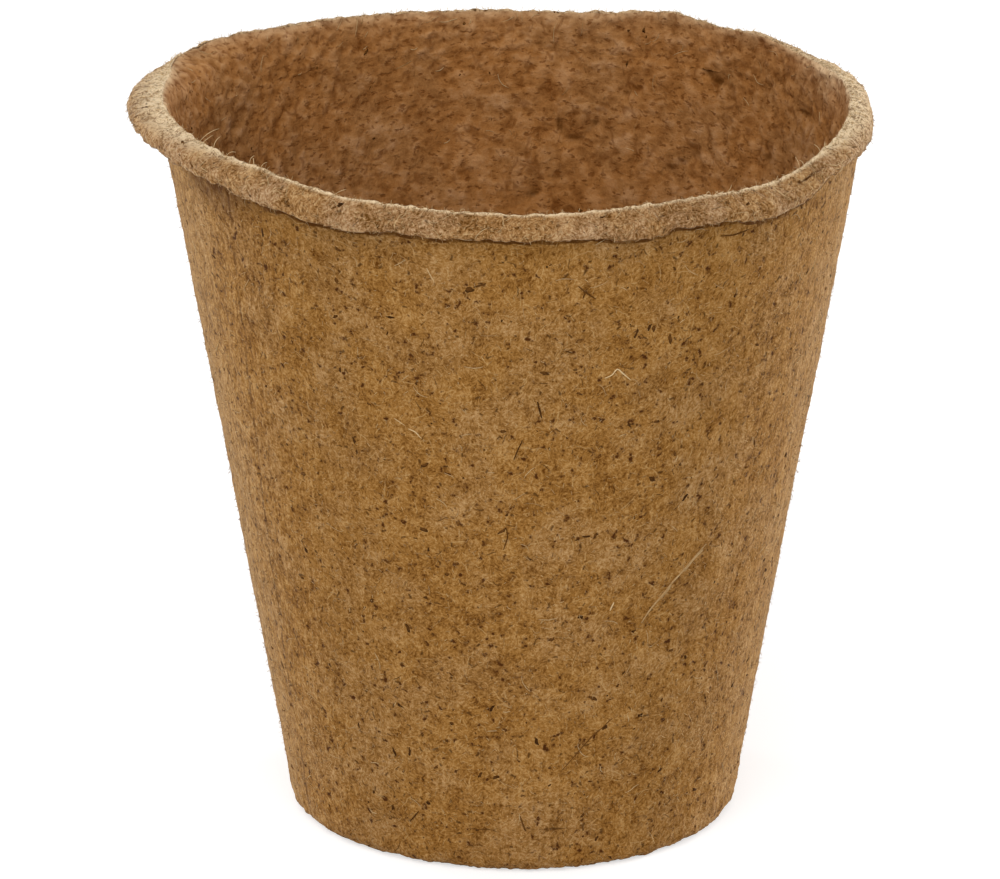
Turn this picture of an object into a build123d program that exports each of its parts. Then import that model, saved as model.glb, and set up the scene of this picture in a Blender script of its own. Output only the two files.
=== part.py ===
import os

from build123d import *

# Peat pot: one tapered cup of pressed fibre with its top edge folded outward and down.
# Sizes are in millimetres. The origin is the middle of the foot, on the ground, with +Z up
# and the side that is seen first towards -Y.

# The cup as a whole
height = 89.0
rim_diameter = 90.0
foot_diameter = 54.4
wall_thickness = 1.6
floor_thickness = 1.8

# The heel, where the floor turns up into the wall
heel_radius = 2.0
inner_heel_radius = 1.4
base_height = 6.0

# The rim, folded off centre, so that its lip stands out more on one side
lip_reach = 2.3
rim_shift_left = 1.4
rim_shift_back = 0.5
lip_drop = 3.8
lip_thickness = 1.4
fold_thickness = 1.5
roll_radius = 1.2
lip_edge_radius = 0.4
mouth_edge_radius = 0.5
collar_height = 5.2

# How far a cutting shape runs past the surface that it cuts
overrun = 1.0

# Levels and slopes that follow from the sizes above
foot_radius = foot_diameter / 2
rim_radius = rim_diameter / 2
mouth_radius = rim_radius - lip_reach
wall_slope = (mouth_radius - foot_radius) / height
lip_level = height - lip_drop
fold_level = height - fold_thickness
collar_level = height - collar_height
rim_centre = (-rim_shift_left, rim_shift_back)


def outer_radius(level):
    return foot_radius + wall_slope * level


def inner_radius(level):
    return outer_radius(level) - wall_thickness


os.makedirs("parts", exist_ok=True)

# Base: the floor and the heel, a shallow dish that the wall stands on
with BuildPart() as base:
    with BuildSketch(Plane.XZ) as dish_section:
        with BuildLine():
            Polyline(
                (0, 0),
                (outer_radius(0), 0),
                (outer_radius(base_height), base_height),
                (inner_radius(base_height), base_height),
                (inner_radius(floor_thickness), floor_thickness),
                (0, floor_thickness),
                close=True,
            )
        make_face()
        heel_corner = dish_section.vertices().sort_by_distance((outer_radius(0), 0))[0]
        fillet(heel_corner, radius=heel_radius)
        floor_corner_point = (inner_radius(floor_thickness), floor_thickness)
        floor_corner = dish_section.vertices().sort_by_distance(floor_corner_point)[0]
        fillet(floor_corner, radius=inner_heel_radius)
    revolve(axis=Axis.Z)
base.part.label = "base"
export_step(base.part, "parts/base.step")

# Side wall: the straight taper between the heel and the collar under the rim
with BuildPart() as side_wall:
    with BuildSketch(Plane.XZ):
        with BuildLine():
            Polyline(
                (outer_radius(base_height), base_height),
                (outer_radius(collar_level), collar_level),
                (inner_radius(collar_level), collar_level),
                (inner_radius(base_height), base_height),
                close=True,
            )
        make_face()
    revolve(axis=Axis.Z)
side_wall.part.label = "side_wall"
export_step(side_wall.part, "parts/side_wall.step")

# Rim: the top of the wall, the fold over it and the lip that hangs down outside
with BuildPart() as rim:
    # The fold and the lip start as one round cap, set off centre
    with BuildSketch(Plane.XY.offset(lip_level)):
        with Locations(rim_centre):
            Circle(rim_radius)
    extrude(amount=lip_drop)
    fillet(rim.edges().sort_by(Axis.Z)[-1], radius=roll_radius)
    fillet(rim.edges().sort_by(Axis.Z)[0], radius=lip_edge_radius)
    # The hollow behind the lip, closed above by the fold
    with BuildSketch(Plane.XY.offset(lip_level - overrun)):
        with Locations(rim_centre):
            Circle(rim_radius - lip_thickness)
    extrude(amount=fold_level - lip_level + overrun, mode=Mode.SUBTRACT)
    # The wall running up inside the hollow, which leaves the crease between the two
    with BuildSketch(Plane.XZ):
        with BuildLine():
            Polyline(
                (0, collar_level),
                (outer_radius(collar_level), collar_level),
                (outer_radius(fold_level), fold_level),
                (0, fold_level),
                close=True,
            )
        make_face()
    revolve(axis=Axis.Z)
    # The mouth
    with BuildSketch(Plane.XZ):
        with BuildLine():
            Polyline(
                (0, collar_level - overrun),
                (inner_radius(collar_level - overrun), collar_level - overrun),
                (inner_radius(height + overrun), height + overrun),
                (0, height + overrun),
                close=True,
            )
        make_face()
    revolve(axis=Axis.Z, mode=Mode.SUBTRACT)
    mouth_edge = rim.edges().group_by(Axis.Z)[-1].sort_by(SortBy.RADIUS)[0]
    fillet(mouth_edge, radius=mouth_edge_radius)
rim.part.label = "rim"
export_step(rim.part, "parts/rim.step")
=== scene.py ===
import math
import random

import bpy
import numpy as np
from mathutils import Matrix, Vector, noise


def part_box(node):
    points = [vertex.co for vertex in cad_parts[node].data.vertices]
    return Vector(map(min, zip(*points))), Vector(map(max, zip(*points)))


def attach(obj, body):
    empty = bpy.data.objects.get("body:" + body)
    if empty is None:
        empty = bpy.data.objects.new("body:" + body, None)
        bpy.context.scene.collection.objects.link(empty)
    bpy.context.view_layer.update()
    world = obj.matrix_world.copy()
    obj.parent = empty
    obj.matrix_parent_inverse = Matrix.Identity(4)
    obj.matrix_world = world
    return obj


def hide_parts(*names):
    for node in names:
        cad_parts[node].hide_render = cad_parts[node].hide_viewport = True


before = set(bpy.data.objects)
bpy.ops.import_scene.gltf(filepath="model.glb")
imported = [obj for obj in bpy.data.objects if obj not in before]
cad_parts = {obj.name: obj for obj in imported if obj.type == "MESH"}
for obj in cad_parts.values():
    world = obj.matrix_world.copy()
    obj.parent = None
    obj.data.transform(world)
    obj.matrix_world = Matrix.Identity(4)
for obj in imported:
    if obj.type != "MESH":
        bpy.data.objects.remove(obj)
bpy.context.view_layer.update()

mm = 0.001

# sizes of the cup, read from the solids that it replaces (all in mm)
baseLow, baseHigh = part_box("base")
wallLow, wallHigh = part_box("side_wall")
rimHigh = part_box("rim")[1]
heelLevel = wallLow.z / mm
collarLevel = wallHigh.z / mm
rimLevel = rimHigh.z / mm
heelSeamRadius = (baseHigh.x - baseLow.x) / 2 / mm
collarRadius = (wallHigh.x - wallLow.x) / 2 / mm
wallSlope = (collarRadius - heelSeamRadius) / (collarLevel - heelLevel)
footRadius = heelSeamRadius - wallSlope * heelLevel
mouthRadius = footRadius + wallSlope * rimLevel
print("cup read from the frame: foot", round(footRadius, 1), "mouth", round(mouthRadius, 1),
      "height", round(rimLevel, 1))

cup = {
    "wallColumns": 600,      # points round the wall and the base
    "rimColumns": 1200,      # points round the rim
    "wallThickness": 1.6,
    "floorThickness": 1.8,
    "heelRadius": 2.2,
    "innerHeelRadius": 1.6,
    "outerRows": 106,
    "innerRows": 60,
    "heelRows": 15,          # rows of the base's outside that carry chips and hairs
    "outOfRound": 0.22,      # slow swelling of the wall
    "screenRelief": 0.10,    # lumps on the outside, which the screen flattened
    "heelRelief": 0.20,      # the heel's edge is chewed
    "feltRelief": 0.36,      # lumps on the inside, which nothing pressed
    "footOut": 0.5,          # the foot bulges this far at the right of the front
    "footIn": 0.4,           # and is drawn in this far at the left of it
    "footBlend": 10.0,       # up to this level
    "creviceDepth": 0.45,
    # deeper crevices in the felt of the inside: azimuths and levels, half width in mm, share of painted shade
    "crevices": [
        ([(171.7, 75.7), (171.2, 74.2), (169.2, 73.2), (167.0, 73.5), (165.4, 74.8), (163.9, 75.8)],
         0.62, 0.64),
        ([(179.3, 65.3), (177.4, 65.7), (175.6, 66.4)], 0.62, 0.75),
        ([(149.7, 70.7), (146.8, 71.8), (143.5, 73.3)], 0.62, 0.66),
        ([(142.9, 83.7), (140.1, 82.6)], 0.65, 0.80), ([(161.3, 66.7), (158.8, 66.7)], 0.60, 0.70),
        ([(159.4, 79.2), (156.5, 80.4)], 0.60, 0.60), ([(-118.9, 80.6), (-120.4, 80.6)], 0.60, 0.70),
        ([(128.4, 74.6), (124.9, 75.8)], 0.60, 0.66), ([(118.0, 82.7), (114.8, 82.4)], 0.60, 0.66),
    ],
}

# the rim goes round unevenly: azimuth in degrees from the front, positive to the right, then in mm
# how far the edge is above the plain rim, how far the lip stands out past the wall, how far it hangs down
rimStations = [
    (-165, -0.2, 2.4, 3.6), (-150, 0.3, 2.7, 3.5), (-135, 0.8, 3.1, 3.2), (-126, 1.4, 3.3, 3.0),
    (-119, 0.5, 3.4, 2.8), (-112, 0.7, 3.5, 2.7), (-105, 1.1, 3.7, 2.6), (-90, 1.8, 4.0, 2.6),
    (-75, 2.0, 3.6, 2.5), (-66, 1.9, 2.8, 2.6), (-55, 1.8, 2.3, 2.9), (-45, 1.6, 1.8, 3.4),
    (-37, 1.0, 1.4, 3.7), (-31, 0.5, 1.3, 3.6), (-22, 0.2, 1.2, 3.2), (-12, 0.0, 1.1, 3.0),
    (0, -0.35, 1.1, 2.8), (10, -0.35, 1.1, 2.8), (18, -0.15, 1.2, 2.9), (26, -0.1, 1.2, 2.8),
    (34, -0.3, 1.2, 2.9), (41, -0.7, 1.3, 3.4), (47, -0.85, 1.3, 3.3), (52, -1.0, 1.3, 2.7),
    (58, -0.4, 1.2, 2.1), (65, 0.1, 1.1, 2.0), (75, 0.7, 0.9, 3.0), (90, 1.3, 0.7, 4.6),
    (100, 1.3, 0.9, 4.4), (112, 0.6, 1.3, 4.0), (122, 0.3, 1.6, 3.9), (132, 1.0, 1.9, 3.8),
    (141, 0.1, 2.0, 3.8), (146, 0.7, 2.0, 3.8), (152, 1.4, 2.1, 3.8), (159, 0.2, 2.1, 3.7),
    (172, -0.4, 2.3, 3.6),
]
rim = {
    "mouthShift": 0.8,       # the mouth sits this far to the left of the wall's axis
    "smoothing": 3.0,        # degrees over which the stations run into each other
    "raggedEdge": 0.20,      # unevenness of the lip's lower edge
    "unevenTop": 0.14,       # unevenness of the top edge
    "relief": 0.18,          # lumps on the lip
    "flapPlace": 20.5,       # a flap of the lip hangs lower here and ends short
    "flapWidth": 5.0,
    "flapEnd": 24.3,
    "flapDrop": 0.7,
    "groovePlace": 55.0,     # a groove parts the bead from the lip's face here
    "grooveWidth": 9.0,
    "grooveDepth": 0.38,
    "sharpMiddle": 8.0,      # round this azimuth the lip slopes straight down from a sharp edge
    "sharpHalf": 52.0,       # as far as this to either side, and further on it rolls over
    "backFrom": 122.0,       # behind these azimuths it drops away sharply again
    "flarePlace": -117.0,    # the mouth flares out here, up to the lip's outer edge
    "flareWidth": 11.0,
    "flare": 2.7,
    "shade": 0.32,           # mm of painted shadow on the wall below what the lip covers
    "shadeSlope": 0.35,      # how far down the lip covers the wall, for each mm that it stands out
    "shadeSpan": (-52, -40, 58, 68),     # azimuths where that dark line starts, is full, ends and is gone
    "softShade": 10.0,       # mm of the wall over which a softer painted shade fades into it at the left
    "softPlace": -58.0,      # round this azimuth
    "softWidth": 17.0,
    "softShare": 0.82,
    # the pale brim, rubbed fibre with a painted highlight: azimuths to either side where it starts, is full,
    # ends and is gone
    "paleLeft": (44, 74, 104, 116),
    "paleRight": (60, 78, 108, 126),
    "paleBack": (100, 130),  # and where the soft roll at the back starts and is full
    # parted plies and wrinkles: azimuth, half width, row, half height in rows, depth in mm, share of painted
    # shade
    "dents": [
        (-110.5, 4.5, 64, 1.5, 0.25, 1.0), (-120.5, 2.5, 64, 1.5, 0.25, 0.9), (56.0, 5.0, 50, 1.4, 0.28, 0.9),
        (-84.0, 1.2, 40, 3.0, 0.15, 0.8), (-79.5, 1.0, 36, 2.5, 0.15, 0.8), (-80.0, 12.0, 31, 5.0, 0.05, 0.48),
        (-99.0, 0.5, 49, 5.0, 0.14, 0.8), (-93.0, 0.4, 53, 3.0, 0.10, 0.6), (82.0, 0.5, 53, 5.0, 0.14, 0.7),
        (87.0, 0.4, 50, 4.0, 0.12, 0.7), (95.0, 0.5, 52, 5.0, 0.12, 0.6), (64.0, 4.0, 36, 1.3, 0.20, 0.7),
    ],
}


def outerRadius(level):
    return footRadius + wallSlope * level


def innerRadius(level):
    return outerRadius(level) - cup["wallThickness"]


def goRound(count):
    return np.arange(count) * 360.0 / count - 180.0


def innerLevels():
    # rows of the inside, closer together near the mouth
    return collarLevel + (heelLevel - collarLevel) * np.linspace(0, 1, cup["innerRows"]) ** 1.25


def roundNoise(azimuths, waveLength, seed):
    # unevenness that runs round the rim and closes on itself
    out = np.empty(len(azimuths))
    for i, a in enumerate(np.radians(azimuths)):
        spot = Vector((math.sin(a), math.cos(a), 0.0)) * (mouthRadius / waveLength)
        out[i] = noise.noise(spot + Vector((0.0, 0.0, seed)))
    return out


def rimStation(azimuths, column):
    # the table's values run into each other round the whole rim
    places = [row[0] for row in rimStations]
    values = [row[column] for row in rimStations]
    plain = np.interp(azimuths, places, values, period=360.0)
    step = 360.0 / len(azimuths)
    reach = np.fft.fftfreq(len(azimuths), d=step)
    blur = np.exp(-2.0 * (math.pi * reach * rim["smoothing"]) ** 2)
    return np.real(np.fft.ifft(np.fft.fft(plain) * blur))


def bump(azimuths, place, width):
    away = (azimuths - place + 180.0) % 360.0 - 180.0
    return np.exp(-((away / width) ** 2))


def climb(values, start, full):
    # 0 up to the start, 1 from where it is full
    return np.clip((values - start) / (full - start), 0, 1)


def span(values, start, full, end, gone):
    return climb(values, start, full) * climb(values, gone, end)


def throughKeys(keys, counts):
    # rows on a smooth curve through the section's key points, for every column at once
    rows = []
    last = len(keys) - 1
    for i, count in enumerate(counts):
        a, b, c, d = keys[max(i - 1, 0)], keys[i], keys[i + 1], keys[min(i + 2, last)]
        for step in range(count):
            t = step / count
            rows.append(0.5 * (2 * b + (c - a) * t + (2 * a - 5 * b + 4 * c - d) * t * t
                               + (3 * b - a - 3 * c + d) * t ** 3))
    rows.append(keys[-1])
    return rows


# rows of the rim's grid between its key points, and where its parts lie among them
rimRows = {
    "counts": [5, 5, 6, 6, 5, 5, 8, 8, 7, 7, 5, 6, 8],
    "crease": 28,            # painted shade of the fold's underside lies below this row
    "edge": 27,              # the lip's lower edge
    "ridge": 61,             # the thin top edge
    "lip": (13, 65),         # rows that take the lip's own finish
}


def rimSection(azimuths):
    # from the collar outside, up round the lip and the fold, to the collar inside
    top = rimLevel + rimStation(azimuths, 1) + rim["unevenTop"] * roundNoise(azimuths, 1.6, 3.1)
    top = top + 0.5 * rim["unevenTop"] * roundNoise(azimuths, 0.6, 5.3)
    reach = rimStation(azimuths, 2)
    drop = rimStation(azimuths, 3)
    flap = bump(azimuths, rim["flapPlace"], rim["flapWidth"])
    flap = flap / (1.0 + np.exp((azimuths - rim["flapEnd"]) / 0.2))
    drop = drop + rim["flapDrop"] * flap
    drop = drop + rim["raggedEdge"] * roundNoise(azimuths, 1.3, 7.7)
    drop = drop + 1.3 * rim["raggedEdge"] * roundNoise(azimuths, 4.5, 9.2)
    low = top - drop
    flare = rim["flare"] * bump(azimuths, rim["flarePlace"], rim["flareWidth"])
    lean = -rim["mouthShift"] * np.sin(np.radians(azimuths))
    ridge = innerRadius(rimLevel) + 0.6 + lean + flare
    edge = mouthRadius + reach
    width = edge - ridge
    tuck = 0.35 * drop
    groove = rim["grooveDepth"] * bump(azimuths, rim["groovePlace"], rim["grooveWidth"])
    sharp = 1.0 / (1.0 + np.exp((np.abs(azimuths - rim["sharpMiddle"]) - rim["sharpHalf"]) / 4.0))
    sharp = sharp + 1.0 / (1.0 + np.exp((rim["backFrom"] - np.abs(azimuths)) / 5.0))
    collar = np.full(len(azimuths), collarLevel)

    def key(radius, level):
        return np.stack([radius + 0.0 * low, level + 0.0 * low])

    keys = [
        key(outerRadius(collarLevel), collar),
        key(outerRadius(low - 0.8), np.maximum(low - 0.8, collar + 0.2)),
        key(outerRadius(low) + 0.02, low + 0.05),
        key(outerRadius(low) + 0.06, low + tuck),                   # the bottom of the crease
        key(np.maximum(edge - 0.95, outerRadius(low) + 0.18), low + 0.18),
        key(edge - 0.40, low),                                      # the lip's lower edge
        key(edge - 0.08, low + 0.34),
        key(edge, low + 0.45 * drop),
        key(edge - (0.16 + 0.10 * sharp) * width - groove, top - (0.26 + 0.10 * sharp) * drop),
        key(ridge + (0.42 - 0.04 * sharp) * width, top - (0.07 + 0.10 * sharp) * drop),
        key(ridge + 0.12, top),                                     # the thin top edge
        key(ridge - 0.28, top - 0.40),
        key(innerRadius(top - 1.7) + 0.45 * lean + 0.12 * flare, top - 1.7),
        key(innerRadius(collarLevel), collar),
    ]
    return throughKeys(keys, rimRows["counts"])


def lipShade(azimuths, levels):
    # painted shadow under the lip at the front: a dark line as deep as the lip covers the wall, and a little
    # more; and a softer painted shade below the lip at the left
    edge, low = rimSection(azimuths)[rimRows["edge"]]
    turn, out, wall = np.radians(azimuths), edge + 0.4, outerRadius(low)
    nearer = np.arcsin(np.sin(turn) * wall / out)
    standOut = out * np.cos(nearer) - wall * np.cos(turn)
    covered = np.interp(np.degrees(nearer), azimuths, low) - rim["shadeSlope"] * standOut
    reach = rim["shade"] + 0.10 * roundNoise(azimuths, 3.0, 2.6)
    line = climb(levels - covered + reach, 0.0, 0.2) * span(azimuths, *rim["shadeSpan"])
    soft = climb(low - levels, rim["softShade"], 0.0) * bump(azimuths, rim["softPlace"], rim["softWidth"])
    return np.maximum(line, rim["softShare"] * soft)


def arcRows(centre, radius, fromAngle, toAngle, count):
    turn = np.radians(np.linspace(fromAngle, toAngle, count))
    return [(centre[0] + radius * math.cos(t), centre[1] + radius * math.sin(t)) for t in turn]


def baseSection():
    # from the seam outside, down round the heel, under the floor, and back over the floor to the seam inside
    lean = math.degrees(math.atan(wallSlope))
    heel = cup["heelRadius"]
    inner = cup["innerHeelRadius"]
    floor = cup["floorThickness"]
    heelCentre = (footRadius - heel * math.tan(math.radians(45 - lean / 2)), heel)
    innerCentre = (innerRadius(floor) - inner * math.tan(math.radians(45 - lean / 2)), floor + inner)
    rows = [(outerRadius(z), z) for z in np.linspace(heelLevel, heel + 0.6, 8)]
    rows += arcRows(heelCentre, heel, -lean, -90, 10)
    under = [(r, 0.0) for r in np.linspace(heelCentre[0], 0.6, 34)[1:]]
    over = [(r, floor) for r in np.linspace(0.6, innerCentre[0], 34)[:-1]]
    back = arcRows(innerCentre, inner, -90, -lean, 8)
    back += [(innerRadius(z), z) for z in np.linspace(floor + inner + 0.5, heelLevel, 6)]
    return rows + under, over + back


def gridPoints(rows, azimuths):
    # rows of (radius, level) turned into points round the axis
    turn = np.radians(azimuths)
    grid = np.empty((len(rows), len(azimuths), 3))
    for i, (radius, level) in enumerate(rows):
        grid[i, :, 0] = radius * np.sin(turn)
        grid[i, :, 1] = -radius * np.cos(turn)
        grid[i, :, 2] = level
    return grid


def gridNormals(grid):
    along = np.gradient(grid, axis=0)
    across = np.roll(grid, -1, axis=1) - np.roll(grid, 1, axis=1)
    normal = np.cross(across, along)
    length = np.linalg.norm(normal, axis=2, keepdims=True)
    return normal / np.maximum(length, 1e-9)


def screenLumps(spot):
    # low soft swellings left by the screen
    spot = spot / 2.4 + Vector((4.0, 2.8, -4.0))
    return noise.noise(spot) + 0.9 * noise.noise(spot * 2.1) + 0.7 * noise.noise(spot * 4.3)


def feltLumps(spot):
    # rounded lumps of pulp with narrow dints between them, lower than they are wide
    spot = Vector((spot.x, spot.y, spot.z * 1.4))
    coarse = abs(noise.noise(spot / 2.6 + Vector((11.0, 7.0, -3.0))))
    fine = abs(noise.noise(spot / 1.4 + Vector((3.0, 19.0, 5.0))))
    slow = noise.noise(spot / 6.0 + Vector((1.0, 2.0, 13.0)))
    return 1.5 * coarse + 0.9 * fine + 0.45 * slow - 0.55


def footSkew(spot):
    # the foot isn't quite round
    azimuth = math.degrees(math.atan2(spot.x, -spot.y))
    low = max(0.0, 1.0 - spot.z / cup["footBlend"])
    skew = cup["footOut"] * bump(azimuth, 30.0, 30.0) - cup["footIn"] * bump(azimuth, -28.0, 26.0)
    return low * low * skew


def roughen(grid, amounts, lumps):
    # moves each point along its normal; returns the new points and the height of each lump, about -1 to 1
    normals = gridNormals(grid)
    relief = np.zeros(grid.shape[:2])
    moved = grid.copy()
    for i in range(grid.shape[0]):
        for j in range(grid.shape[1]):
            spot = Vector(grid[i, j])
            relief[i, j] = lumps(spot)
            slow = noise.noise(spot / 26.0 + Vector((5.0, 2.0, 8.0))) * cup["outOfRound"] + footSkew(spot)
            radial = Vector((spot.x, spot.y, 0.0)).normalized()
            moved[i, j] += normals[i, j] * (relief[i, j] * amounts[i]) + np.array(radial) * slow
    return moved, relief


finishes = ["screen_side", "felt_side", "folded_lip"]      # the order of each shell's material slots


def newObject(name, data):
    thing = bpy.data.objects.new(name, data)
    bpy.context.scene.collection.objects.link(thing)
    return thing


def closedPiece(name, grid, normals, kinds, layers, sheet, ends):
    # a shell from a grid of rows; "breaks" leaves a gap between two rows, "discs" closes the middle of a row
    rows, columns = grid.shape[:2]
    points = (grid.reshape(-1, 3) * mm).tolist()
    faces, uvs, slots = [], [], []
    breaks = ends.get("breaks", [])
    pairs = [(i, (i + 1) % rows) for i in range(rows) if i not in breaks]

    def corner(i, j):
        return i * columns + j % columns

    for a, b in pairs:
        for j in range(columns):
            faces.append((corner(a, j), corner(a, j + 1), corner(b, j + 1), corner(b, j)))
            uvs += [sheet[a, j], sheet[a, j + 1], sheet[b, j + 1], sheet[b, j]]
        slots += [finishes.index(kinds[a])] * columns
    vertexNormals = normals.reshape(-1, 3).tolist()
    values = {label: layer.reshape(-1).tolist() for label, layer in layers.items()}
    for row, facing in ends.get("discs", []):
        points.append((grid[row].mean(axis=0) * mm).tolist())
        vertexNormals.append((0.0, 0.0, float(facing)))
        for label, layer in layers.items():
            values[label].append(float(layer[row].mean()))
        middle = len(points) - 1
        for j in range(columns):
            near, far = (j, j + 1) if facing < 0 else (j + 1, j)
            faces.append((corner(row, near), corner(row, far), middle))
            uvs += [sheet[row, near], sheet[row, far], sheet[row].mean(axis=0)]
        slots += [finishes.index(kinds[row])] * columns
    mesh = bpy.data.meshes.new(name)
    mesh.from_pydata(points, [], faces)
    uvLayer = mesh.uv_layers.new(name="sheet")
    uvLayer.data.foreach_set("uv", np.array(uvs, dtype=np.float32).reshape(-1))
    for label, numbers in values.items():
        layer = mesh.attributes.new(label, "FLOAT", "POINT")
        layer.data.foreach_set("value", np.array(numbers, dtype=np.float32))
    mesh.polygons.foreach_set("use_smooth", [True] * len(mesh.polygons))
    mesh.polygons.foreach_set("material_index", slots)
    mesh.update()
    mesh.normals_split_custom_set_from_vertices(vertexNormals)
    return newObject(name, mesh)


def sheetPlaces(grid, azimuths):
    # where each point lies on the flat sheet that the cone unrolls to, in mm, for the print and the fibres
    rows, columns = grid.shape[:2]
    lean = math.sin(math.atan(wallSlope))
    steps = np.linalg.norm(np.diff(grid, axis=0), axis=2)
    run = np.concatenate([np.zeros((1, columns)), np.cumsum(steps, axis=0)])
    run = np.concatenate([run, run[:, :1]], axis=1)
    start = math.hypot(grid[0, 0, 0], grid[0, 0, 1]) / lean
    turn = np.radians(np.append(azimuths, azimuths[0] + 360.0)) * lean
    places = np.empty((rows, columns + 1, 2))
    places[..., 0] = (start + run) * np.sin(turn)
    places[..., 1] = (start + run) * np.cos(turn)
    return places


skins = {}                   # finished surfaces, which the fibres and bark chips lie on


def keepSkin(name, grid):
    skins[name] = (grid, gridNormals(grid))


def makeWall():
    azimuths = goRound(cup["wallColumns"])
    outer = [(outerRadius(z), z) for z in np.linspace(heelLevel, collarLevel, cup["outerRows"])]
    inner = [(innerRadius(z), z) for z in innerLevels()]
    grid = gridPoints(outer + inner, azimuths)
    split = len(outer)
    outGrid, outRelief = roughen(grid[:split], [cup["screenRelief"]] * split, screenLumps)
    inGrid, inRelief = roughen(grid[split:], [cup["feltRelief"]] * len(inner), feltLumps)
    facing = gridNormals(grid[split:])
    paintedShade = np.zeros(inRelief.shape)
    levels = grid[split:, :, 2]
    # each crevice is dented, and darkened with painted shade
    for places, width, share in cup["crevices"]:
        keys = [np.array(p, dtype=float) for p in places]
        dent = np.zeros(inRelief.shape)
        for azimuth, level in throughKeys(keys, [6] * (len(keys) - 1)):
            along = np.radians((azimuths - azimuth + 180.0) % 360.0 - 180.0) * innerRadius(level)
            dent = np.maximum(dent, np.exp(-(along ** 2 + (levels - level) ** 2) / width ** 2))
        inGrid = inGrid - facing * (cup["creviceDepth"] * dent)[..., None]
        paintedShade = np.maximum(paintedShade, dent * share)
    keepSkin("outside", outGrid)
    keepSkin("inside", inGrid)
    normals = np.concatenate([skins["outside"][1], skins["inside"][1]])
    # painted shadow of the lip on the top of the wall
    shade = lipShade(azimuths, grid[:split, :, 2])
    layers = {"relief": np.concatenate([outRelief, inRelief]), "crease": np.concatenate([shade, paintedShade])}
    kinds = ["screen_side"] * split + ["felt_side"] * len(inner)
    piece = closedPiece("wall_shell", np.concatenate([outGrid, inGrid]), normals, kinds, layers,
                        sheetPlaces(grid, azimuths), {})
    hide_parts("side_wall")
    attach(piece, "root")
    print("wall made,", len(piece.data.polygons), "faces")
    return piece


def makeRim():
    azimuths = goRound(cup["rimColumns"])
    section = rimSection(azimuths)
    grid = gridPoints(section, azimuths)
    rows = np.arange(len(section))
    lipFrom, lipTo = rimRows["lip"]
    fold = span(rows, lipFrom - 2, lipFrom + 2, lipTo - 2, lipTo + 3)
    outGrid, outRelief = roughen(grid, cup["screenRelief"] * (1 - fold) + rim["relief"] * fold, screenLumps)
    inGrid, inRelief = roughen(grid, cup["feltRelief"] * (1 - fold) + rim["relief"] * fold, feltLumps)
    inside = climb(rows, lipTo - 2, lipTo + 4)[:, None]
    whole = outGrid * (1 - inside[..., None]) + inGrid * inside[..., None]

    # painted shadow on the wall below the lip's fold
    under = climb(rows, rimRows["crease"] + 3, rimRows["crease"])[:, None]
    paintedShade = lipShade(azimuths, grid[..., 2]) * under
    facing = gridNormals(grid)
    # each dent is pressed in, and darkened with painted shade
    for azimuth, width, row, height, depth, share in rim["dents"]:
        dent = np.exp(-(((rows - row) / height) ** 2))[:, None] * bump(azimuths, azimuth, width)
        whole = whole - facing * (dent * depth)[..., None]
        paintedShade = np.maximum(paintedShade, dent * share)
    keepSkin("lip", whole)

    # the pale edge, rubbed fibre with a painted highlight: a thin line at the front, the whole brim at both
    # ends, a soft roll at the back
    away = np.abs(azimuths)
    ends = np.where(azimuths < 0, span(away, *rim["paleLeft"]), 1.4 * span(away, *rim["paleRight"]))
    back = climb(away, *rim["paleBack"])
    above = (rows - rimRows["ridge"])[:, None] + 0.0 * ends
    spread = np.where(above < 0, 2.0 + 10.0 * ends, 2.0 + 5.0 * ends + 6.0 * back)
    ridge = np.exp(-((above / spread) ** 2)) * (1.0 - 0.62 * back)
    layers = {"relief": outRelief * (1 - inside) + inRelief * inside, "crease": paintedShade, "ridge": ridge}
    kinds = ["screen_side" if r < lipFrom else "folded_lip" if r < lipTo else "felt_side" for r in rows]
    piece = closedPiece("folded_lip", whole, skins["lip"][1], kinds, layers,
                        sheetPlaces(grid, azimuths), {})
    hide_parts("rim")
    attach(piece, "root")
    print("rim made,", len(piece.data.polygons), "faces")
    return piece


def makeBase():
    azimuths = goRound(cup["wallColumns"])
    under, over = baseSection()
    split = len(under)
    grid = gridPoints(under + over, azimuths)
    levels = [z for r, z in under]
    underAmounts = np.interp(levels, [0.0, 0.1, 2.5, heelLevel],
                             [0.02, cup["heelRelief"], cup["heelRelief"], cup["screenRelief"]])
    outGrid, outRelief = roughen(grid[:split], underAmounts, screenLumps)
    inGrid, inRelief = roughen(grid[split:], [cup["feltRelief"]] * len(over), feltLumps)
    outGrid[..., 2] = np.maximum(outGrid[..., 2], 0.0)
    keepSkin("heel", outGrid[:cup["heelRows"]])
    keepSkin("floor", inGrid)
    normals = np.concatenate([gridNormals(outGrid), skins["floor"][1]])
    layers = {"relief": np.concatenate([outRelief, inRelief])}
    kinds = ["screen_side"] * split + ["felt_side"] * len(over)
    ends = {"breaks": [split - 1], "discs": [(split - 1, -1), (split, 1)]}
    piece = closedPiece("base_dish", np.concatenate([outGrid, inGrid]), normals, kinds, layers,
                        sheetPlaces(grid, azimuths), ends)
    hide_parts("base")
    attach(piece, "root")
    print("base made,", len(piece.data.polygons), "faces")
    return piece


shells = [makeWall(), makeRim(), makeBase()]


def put(tree, kind, sockets=None, **settings):
    # one node with its settings, its numbers and its links
    node = tree.nodes.new("ShaderNode" + kind)
    for name, value in settings.items():
        setattr(node, name, value)
    for name, value in (sockets or {}).items():
        if isinstance(value, bpy.types.NodeSocket):
            tree.links.new(value, node.inputs[name])
        else:
            node.inputs[name].default_value = value
    return node


def newMaterial(name):
    material = bpy.data.materials.new(name)
    material.use_nodes = True
    return material, material.node_tree, material.node_tree.nodes["Principled BSDF"]


def calc(tree, operation, *values):
    return put(tree, "Math", dict(enumerate(values)), operation=operation).outputs[0]


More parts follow.
